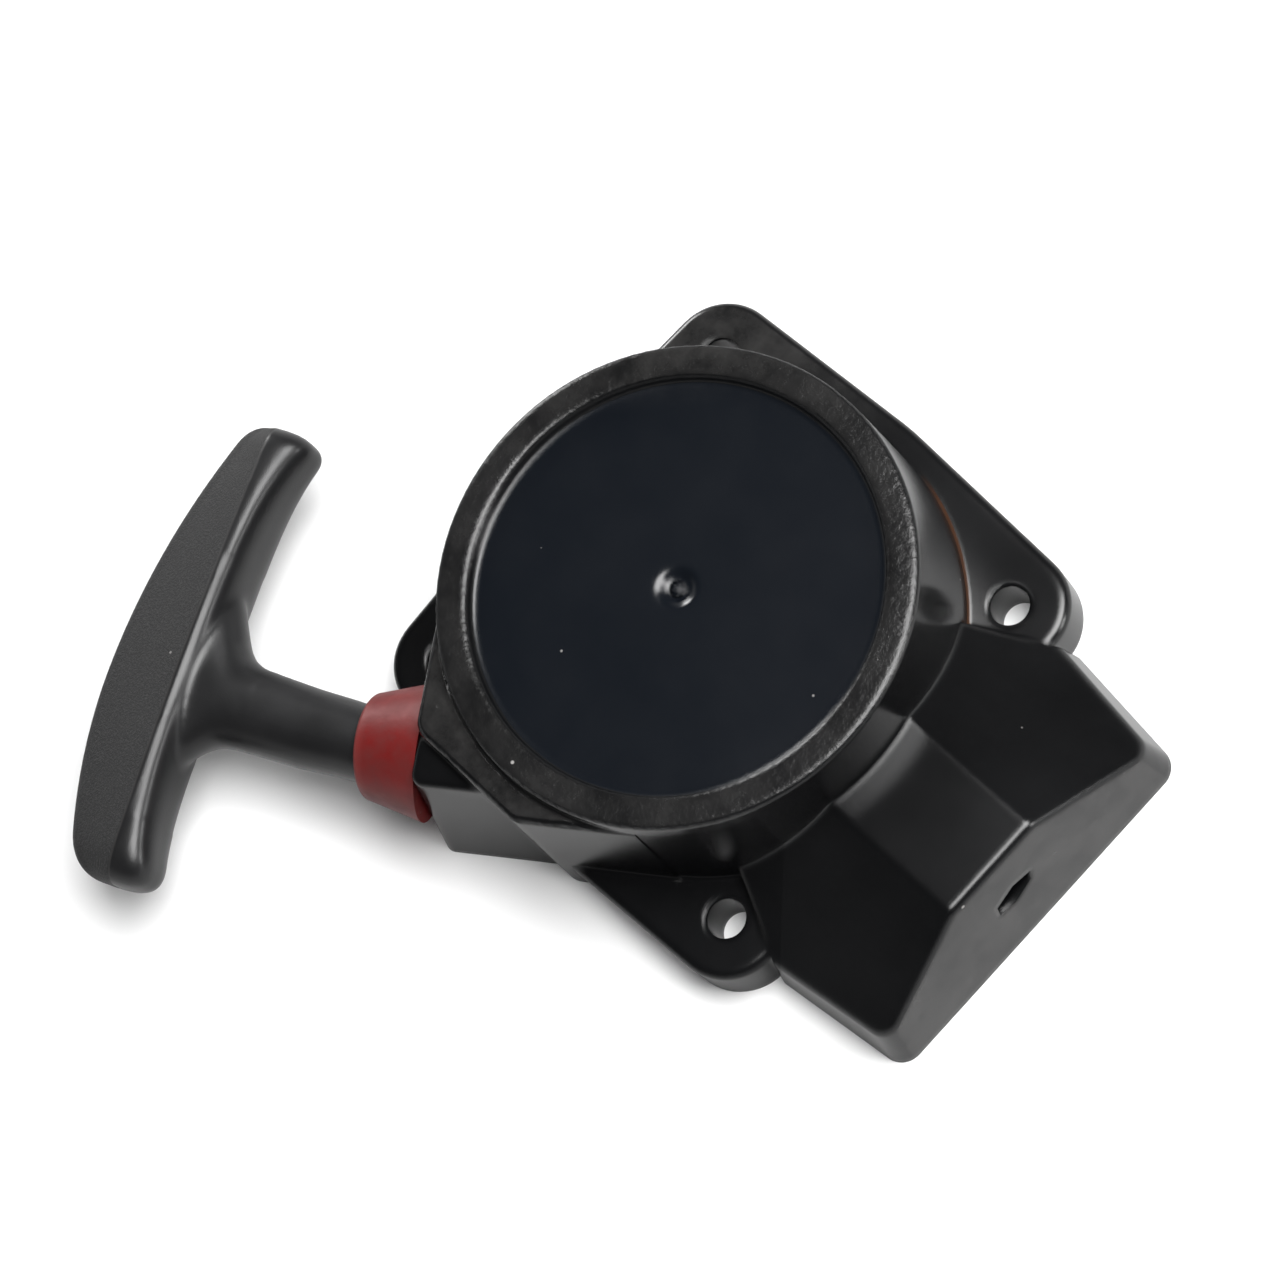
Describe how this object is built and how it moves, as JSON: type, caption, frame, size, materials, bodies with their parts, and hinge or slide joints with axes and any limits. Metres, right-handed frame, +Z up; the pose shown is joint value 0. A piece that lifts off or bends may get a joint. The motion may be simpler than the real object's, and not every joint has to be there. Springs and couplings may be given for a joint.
{
  "type": "recoil starter",
  "caption": "Pull starter for a small engine: moulded drum housing with a four-hole flange and a hood, T-handle on a rope, spring-returned reel with swing-out pawls.",
  "frame": {"origin": "middle of the four mounting holes, on the face that meets the engine", "axes": "+Z up the drum towards its closed top, +X along the hood"},
  "size_m": [0.1613, 0.1519, 0.0392],
  "materials": {
    "black_housing": "semi-gloss moulded black plastic",
    "red_guide": "dull red moulded plastic",
    "black_handle": "fine-grained matte black plastic",
    "grey_plastic": "dark grey nylon",
    "white_plastic": "natural nylon",
    "zinc_steel": "bright zinc plate",
    "spring_steel": "blued spring steel",
    "pawl_steel": "sintered steel, oiled",
    "bronze_bush": "sintered bronze",
    "starter_rope": "braided white nylon cord"
  },
  "bodies": {
    "housing": {"housing": "black_housing", "rope_guide": "red_guide", "spring_case": "grey_plastic", "spring_cover": "zinc_steel", "recoil_spring": "spring_steel", "retaining_screw": "zinc_steel", "retaining_washer": "zinc_steel", "thrust_washer": "white_plastic"},
    "reel": {"reel": "grey_plastic", "reel_bush": "bronze_bush", "rope_winding": "starter_rope", "reel_rope_knot": "starter_rope", "pawl_pins": "zinc_steel"},
    "rope": {"rope_lead": "starter_rope"},
    "handle": {"handle_grip": "black_handle", "handle_plug": "black_handle", "handle_knot_washer": "zinc_steel", "handle_rope_knot": "starter_rope"},
    "friction_plate": {"friction_plate": "zinc_steel", "brake_spring": "spring_steel"},
    "pawl_1": {"pawl_1": "pawl_steel"},
    "pawl_2": {"pawl_2": "pawl_steel"}
  },
  "joints": [
    {"name": "handle_pull", "type": "slide", "parent": "housing", "child": "rope", "axis": [-0.829, -0.5592, 0], "range_m": [0, 0.65], "stiffness_N_per_m": 20, "springref_m": -0.4},
    {"name": "handle_swing", "type": "hinge", "parent": "rope", "child": "handle", "pos_m": [-0.02975, -0.05408, 0.02], "axis": [0, 0, 1], "range_deg": [-8, 27]},
    {"name": "reel_spin", "type": "hinge", "parent": "housing", "child": "reel", "pos_m": [0, 0, 0.02], "axis": [0, 0, -1], "range_deg": [0, 1325]},
    {"name": "friction_plate_turn", "type": "hinge", "parent": "reel", "child": "friction_plate", "pos_m": [0, 0, 0.0084], "axis": [0, 0, 1], "range_deg": [0, 16]},
    {"name": "pawl_1_swing", "type": "hinge", "parent": "reel", "child": "pawl_1", "pos_m": [0.018, 0, 0.0126], "axis": [0, 0, 1], "range_deg": [0, 27.1]},
    {"name": "pawl_2_swing", "type": "hinge", "parent": "reel", "child": "pawl_2", "pos_m": [-0.018, 0, 0.0126], "axis": [0, 0, 1], "range_deg": [0, 27.1]}
  ],
  "couplings": [
    {"joint": "reel_spin", "follows": "handle_pull", "rad_per_m": 35.461},
    {"joint": "pawl_1_swing", "follows": "friction_plate_turn", "ratio": 1.6875},
    {"joint": "pawl_2_swing", "follows": "friction_plate_turn", "ratio": 1.6875}
  ]
}
